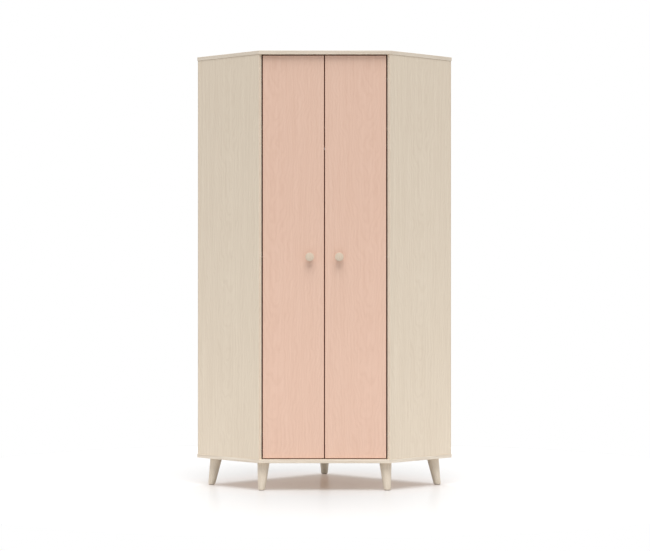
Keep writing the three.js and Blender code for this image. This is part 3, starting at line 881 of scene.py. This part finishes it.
class WARDROBE_OT_knobs(bpy.types.Operator):
    """Turns the two round wooden knobs"""

    bl_idname = "wardrobe.knobs"
    bl_label = "Turn the knobs"

    def execute(self, context):
        sizes = context.scene.wardrobe_sizes
        wood = turned_wood("knob")
        low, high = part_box("right_knob")
        radius, projection = (high.x - low.x) / 2, high.y - low.y
        shoulder = projection - sizes.knob_head
        cove = shoulder / 2
        rim, dome, edge = sizes.knob_rim, sizes.knob_dome, sizes.knob_edge
        flat = radius - rim
        dome_radius = (flat**2 + dome**2) / (2 * dome)
        dome_angle = degrees(asin(flat / dome_radius))
        profile = [
            (0, sizes.screw_bite),
            (sizes.screw_bore, sizes.screw_bite),
            (sizes.screw_bore, 0),
            (sizes.knob_foot, 0, edge),
            (sizes.knob_foot, sizes.knob_sole, edge),
            *arc((sizes.knob_neck + cove, cove + COVE_LIFT), cove, *COVE_ENDS),
            (radius, shoulder, rim),
            (radius, projection - dome, rim),
            *arc((0, projection - dome_radius), dome_radius, 90 - dome_angle, 90),
        ]
        for side in SIDES:
            knob = side + "_knob"
            centre = middle(knob)
            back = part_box(knob)[1].y
            bm = mark_grain(move(turned(profile, sizes.facets), FACING_OUT))
            move(bm, Matrix.Translation((centre.x, back, centre.z)))
            piece(bm, side + "_turned_knob", side + "_door_leaf", wood, [knob])
        return {"FINISHED"}


class WARDROBE_OT_legs(bpy.types.Operator):
    """Turns the five splayed legs"""

    bl_idname = "wardrobe.legs"
    bl_label = "Turn the legs"

    def execute(self, context):
        sizes = context.scene.wardrobe_sizes
        gap, arris, fullness = sizes.clearance, sizes.leg_arris, sizes.leg_fullness
        wood = turned_wood("leg")
        for number, leg in enumerate(LEGS):
            foot, ankle, *_, shoulder, top = rings(leg + "_leg")
            plate, glide = rings(leg + "_leg_plate"), rings(leg + "_glide")
            bore, bore_top = glide[-1].radius + gap, glide[-1].height + gap
            stud, stud_foot = plate[0].radius + gap, plate[0].height - gap
            pocket, pocket_foot = plate[-1].radius + gap, plate[-2].height - gap
            profile = [
                (0, bore_top),
                (bore, bore_top),
                (bore, foot.height),
                (ankle.radius + fullness, foot.height, arris),
                (shoulder.radius + fullness, top.height, arris),
                (pocket, top.height),
                (pocket, pocket_foot),
                (stud, pocket_foot),
                (stud, stud_foot),
                (0, stud_foot),
            ]
            bm = turned(profile, sizes.facets)
            mark_grain(move(bm, Matrix.Rotation(number * FULL_TURN / len(LEGS), 4, "Z")))
            leaned(bm, top, foot)
            piece(bm, leg + "_turned_leg", "carcass", wood, [leg + "_leg"])
            dress(metal("nickel_plate"), leg + "_leg_plate")
        return {"FINISHED"}


class WARDROBE_OT_glides(bpy.types.Operator):
    """Moulds the glide under each foot"""

    bl_idname = "wardrobe.glides"
    bl_label = "Mould the glides"

    def execute(self, context):
        sizes = context.scene.wardrobe_sizes
        plastic = glide_plastic()
        for leg in LEGS:
            base, seat, *_, pin = rings(leg + "_glide")
            profile = [
                (0, base.height),
                (base.radius, base.height, sizes.glide_rim),
                (base.radius, seat.height, sizes.glide_rim),
                (pin.radius, seat.height),
                (pin.radius, pin.height, pin.radius / 2),
                (0, pin.height),
            ]
            bm = leaned(turned(profile, sizes.facets), base, pin)
            piece(bm, leg + "_moulded_glide", "carcass", plastic, [leg + "_glide"])
        return {"FINISHED"}


class WARDROBE_OT_rail(bpy.types.Operator):
    """Draws the hanging rail's chromed tube and the brackets that carry it"""

    bl_idname = "wardrobe.rail"
    bl_label = "Draw the hanging rail"

    def execute(self, context):
        sizes = context.scene.wardrobe_sizes
        chrome, steel = metal("chrome_plate"), metal("nickel_plate")
        low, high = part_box("hanging_rail")
        centre = middle("hanging_rail")
        radius = (high.z - low.z) / 2
        bore, edge = radius - sizes.rail_wall, sizes.rail_wall / 4
        profile = [
            (bore, low.x, edge),
            (radius, low.x, edge),
            (radius, high.x, edge),
            (bore, high.x, edge),
            (bore, low.x, edge),
        ]
        bm = turned(profile, sizes.facets)
        move(bm, Matrix.Translation((0, centre.y, centre.z)) @ LYING)
        piece(bm, "chromed_rail", "carcass", chrome, ["hanging_rail"])
        low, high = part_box("right_rail_hanger")
        spots = [(low.x + inset, centre.y, high.z - HANGER_FLANGE) for inset in HANGER_SCREWS]
        head = (crossed_head, sizes.screw_head, sizes.screw_rise)
        for side in SIDES:
            node, name = side + "_rail_hanger", side + "_rail_bracket"
            pressed(node, name, "carcass", chrome)
            bm = heads_at(spots, Matrix(), FACING_DOWN, side, *head)
            piece(bm, side + "_bracket_screws", "carcass", steel)
        return {"FINISHED"}


class WARDROBE_OT_hinges(bpy.types.Operator):
    """Presses the cups, arms and plates of the concealed hinges, with their screws"""

    bl_idname = "wardrobe.hinges"
    bl_label = "Press the hinges"

    def execute(self, context):
        sizes = context.scene.wardrobe_sizes
        head = (crossed_head, sizes.screw_head, sizes.screw_rise)
        steel, shade_darkened_arm = metal("nickel_plate"), metal("burnished_steel")
        for side in SIDES:
            leaf = side + "_door_leaf"
            for hinge in HINGES:
                name = side + "_" + hinge
                for part, body, finish in (
                    ("cup", leaf, steel),
                    ("arm", "carcass", shade_darkened_arm),
                    ("plate", "carcass", steel),
                ):
                    node = name + "_hinge_" + part
                    pressed(node, name + "_pressed_" + part, body, finish)
                bm = heads_at(self.cup_spots(hinge), Matrix(), FACING_IN, side, *head)
                piece(bm, name + "_cup_screws", leaf, steel)
                spots = self.end_spots(hinge, sizes.fitting_edge)
                bm = heads_at(spots, END_PLACE, FACING_IN, side, *head)
                piece(bm, name + "_hinge_screws", "carcass", steel)
        return {"FINISHED"}

    def cup_spots(self, hinge):
        """Where the screws of a right-hand cup sit."""
        low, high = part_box("right_" + hinge + "_hinge_cup")
        centre = (low + high) / 2
        inset, reach = CUP_SCREWS
        return [(centre.x - inset, high.y, centre.z + rise) for rise in (-reach, reach)]

    def end_spots(self, hinge, edge):
        """Where the screws of a right-hand plate and arm sit, in the end place."""
        low, high = measured("right_" + hinge + "_hinge_plate", END_PLACE)
        centre = (low + high) / 2
        sheet, reach = PLATE_SCREWS
        spots = [(centre.x, low.y + sheet, centre.z + rise) for rise in (-reach, reach)]
        low, high = measured("right_" + hinge + "_hinge_arm", END_PLACE)
        return spots + [(high.x - back, high.y - edge, centre.z) for back in ARM_SCREWS]


class WARDROBE_OT_small_steel(bpy.types.Operator):
    """Makes the knob screws, shelf supports, cam fittings and nails"""

    bl_idname = "wardrobe.small_steel"
    bl_label = "Make the small steel pieces"

    def execute(self, context):
        sizes = context.scene.wardrobe_sizes
        steel = metal("nickel_plate")
        for side in SIDES:
            node, name = side + "_knob_screw", side + "_pan_screw"
            pressed(node, name, side + "_door_leaf", steel)
            for support in ("_front", "_rear", "_stile"):
                node, name = side + support + "_shelf_support", side + support + "_shelf_pin"
                pressed(node, name, "carcass", steel)
            piece(self.cams(side, sizes), side + "_cams", "carcass", steel)
            piece(self.nails(side, sizes), side + "_nails", "carcass", steel)
        return {"FINISHED"}

    def cams(self, side, sizes):
        head = (crossed_head, sizes.cam_radius, sizes.cam_rise)
        heads = []
        for node, place, shares in (
            ("right_end_panel", END_PLACE, END_CAMS),
            ("right_rear_stile", WALL_PLACE, STILE_CAMS),
        ):
            low, high = measured(node, place)
            spots = [
                (low.x + share * (high.x - low.x), high.y, height)
                for share in shares
                for height in (low.z + sizes.cam_end, high.z - sizes.cam_end)
            ]
            heads.append(heads_at(spots, place, FACING_IN, side, *head))
        return gathered(heads)

    def nails(self, side, sizes):
        low, high = measured("right_back_panel", WALL_PLACE)
        stile_low, stile_high = measured("right_rear_stile", WALL_PLACE)
        end_low, end_high = measured("right_end_panel", END_PLACE)
        count = round((high.z - low.z) / sizes.nail_spacing)
        spacing = (high.z - low.z) / count
        radius, rise = sizes.nail_radius, sizes.nail_rise
        profile = [(0, 0), (radius, 0), (radius, rise, rise / 2), (0, rise)]
        spots = [
            (along, low.y, low.z + (i + 0.5) * spacing)
            for along in ((end_low.y + end_high.y) / 2, (stile_low.x + stile_high.x) / 2)
            for i in range(count)
        ]
        return heads_at(spots, WALL_PLACE, FACING_OUT, side, turned, profile, NAIL_FACETS)


class WARDROBE_OT_studio(bpy.types.Operator):
    """Sets the camera, the two soft suns, the even sky and the white floor"""

    bl_idname = "wardrobe.studio"
    bl_label = "Set the studio"

    def execute(self, context):
        studio = context.scene.wardrobe_studio
        self.camera(context, studio)
        tilt = pi / 2 - studio.front_rise
        self.sun("front_sun", studio.front_sun, studio.front_width, tilt, studio.sun_turn)
        tilt = studio.back_rise - pi / 2
        back = self.sun("back_sun", studio.back_sun, studio.back_width, tilt, 0)
        self.sky(context, studio)
        self.keep_to(back, self.floor(studio))
        context.scene.view_settings.view_transform = "Standard"
        return {"FINISHED"}

    def camera(self, context, studio):
        data = bpy.data.cameras.new("camera")
        data.lens = studio.lens
        data.sensor_width = studio.sensor
        data.shift_x = studio.shift_right
        data.shift_y = studio.shift_up
        made = linked("camera", data)
        made.location = (0, -studio.distance, studio.height)
        made.rotation_euler = (pi / 2, 0, 0)
        context.scene.camera = made

    def sun(self, name, strength, width, tilt, turn):
        data = bpy.data.lights.new(name, "SUN")
        data.energy = strength
        data.angle = width
        made = linked(name, data)
        made.rotation_euler = (tilt, 0, turn)
        return made

    def keep_to(self, lamp, floor):
        """Lets a lamp light the floor alone, so that the pale top panel stays below white."""
        lit = bpy.data.collections.new(lamp.name + "_lights")
        lit.objects.link(floor)
        lamp.light_linking.receiver_collection = lit

    def seen_white(self, tree):
        """1 for the rays that show the background: the camera's, and those in metal and glass."""
        rays = put(tree, "LightPath").outputs
        straight = calc(tree, "MAXIMUM", rays["Is Camera Ray"], rays["Is Glossy Ray"])
        return calc(tree, "MAXIMUM", straight, rays["Is Transmission Ray"])

    def sky(self, context, studio):
        world = bpy.data.worlds.new("studio_sky")
        world.use_nodes = True
        tree = world.node_tree
        background = tree.nodes["Background"]
        background.inputs["Color"].default_value = (1, 1, 1, 1)
        strength = span(tree, self.seen_white(tree), 0.0, 1.0, studio.sky_strength, 1.0)
        feed(tree, background.inputs["Strength"], strength)
        context.scene.world = world

    def joined(self, tree, node, first, second):
        """A node that joins two shaders, with both fed to its last two inputs."""
        tree.links.new(first.outputs[0], node.inputs[-2])
        tree.links.new(second.outputs[0], node.inputs[-1])
        return node

    def floor_white(self, studio):
        """A polished white coat, with the camera's extra white, and a painted warm glow where the
        wardrobe shades the floor.
        """
        material = bpy.data.materials.new("floor_white")
        material.use_nodes = True
        tree = material.node_tree
        tree.nodes.clear()
        seen = self.seen_white(tree)
        coat = blended(tree, seen, solid(studio.floor_bounce), solid(studio.floor_shade))
        matt = put(tree, "BsdfDiffuse", {"Color": coat})
        shine = put(tree, "BsdfGlossy", {"Color": (1, 1, 1, 1), "Roughness": studio.floor_blur})
        gloss = put(tree, "MixShader", {"Fac": studio.floor_gloss})
        polished = self.joined(tree, gloss, matt, shine)
        lift = put(tree, "Emission", {"Strength": calc(tree, "MULTIPLY", seen, studio.floor_lift)})
        lifted = self.joined(tree, put(tree, "AddShader"), polished, lift)
        # Painted light: an occlusion mask makes the floor glow warm under and round the wardrobe.
        hidden = put(tree, "AmbientOcclusion", {"Distance": studio.shadow_reach}).outputs["AO"]
        painted_glow_share = calc(tree, "MULTIPLY", seen, calc(tree, "SUBTRACT", 1.0, hidden))
        warm = put(tree, "Emission", {"Color": solid(studio.shadow_tint), "Strength": painted_glow_share})
        warmed = self.joined(tree, put(tree, "AddShader"), lifted, warm)
        tree.links.new(warmed.outputs[0], put(tree, "OutputMaterial").inputs["Surface"])
        return material

    def floor(self, studio):
        bm = bmesh.new()
        radius = studio.floor_radius
        bmesh.ops.create_circle(bm, cap_ends=True, segments=FLOOR_FACETS, radius=radius)
        made = shown(bm, "floor", self.floor_white(studio))
        return made


OPERATORS = (
    WARDROBE_OT_carcass_finish,
    WARDROBE_OT_door_finish,
    WARDROBE_OT_knobs,
    WARDROBE_OT_legs,
    WARDROBE_OT_glides,
    WARDROBE_OT_rail,
    WARDROBE_OT_hinges,
    WARDROBE_OT_small_steel,
    WARDROBE_OT_studio,
)
SETTINGS = {
    "wardrobe_colours": WardrobeColours,
    "wardrobe_grain": WardrobeGrain,
    "wardrobe_sizes": WardrobeSizes,
    "wardrobe_studio": WardrobeStudio,
}


class WARDROBE_PT_panel(bpy.types.Panel):
    """The wardrobe's operators and settings"""

    bl_idname = "WARDROBE_PT_panel"
    bl_label = "Corner wardrobe"
    bl_space_type = "VIEW_3D"
    bl_region_type = "UI"
    bl_category = "Wardrobe"

    def draw(self, context):
        for operator in OPERATORS:
            self.layout.operator(operator.bl_idname)
        for name in SETTINGS:
            settings = getattr(context.scene, name)
            box = self.layout.box()
            box.label(text=name.replace("_", " ").capitalize())
            for field in settings.__annotations__:
                box.prop(settings, field)


CLASSES = (*SETTINGS.values(), *OPERATORS, WARDROBE_PT_panel)


def register():
    for item in CLASSES:
        bpy.utils.register_class(item)
    for name, group in SETTINGS.items():
        setattr(bpy.types.Scene, name, PointerProperty(type=group))


def unregister():
    for name in SETTINGS:
        delattr(bpy.types.Scene, name)
    for item in reversed(CLASSES):
        bpy.utils.unregister_class(item)


def main():
    register()
    bpy.ops.wardrobe.carcass_finish()
    bpy.ops.wardrobe.door_finish()
    bpy.ops.wardrobe.knobs()
    bpy.ops.wardrobe.legs()
    bpy.ops.wardrobe.glides()
    bpy.ops.wardrobe.rail()
    bpy.ops.wardrobe.hinges()
    bpy.ops.wardrobe.small_steel()
    bpy.ops.wardrobe.studio()


if __name__ == "__main__":
    main()
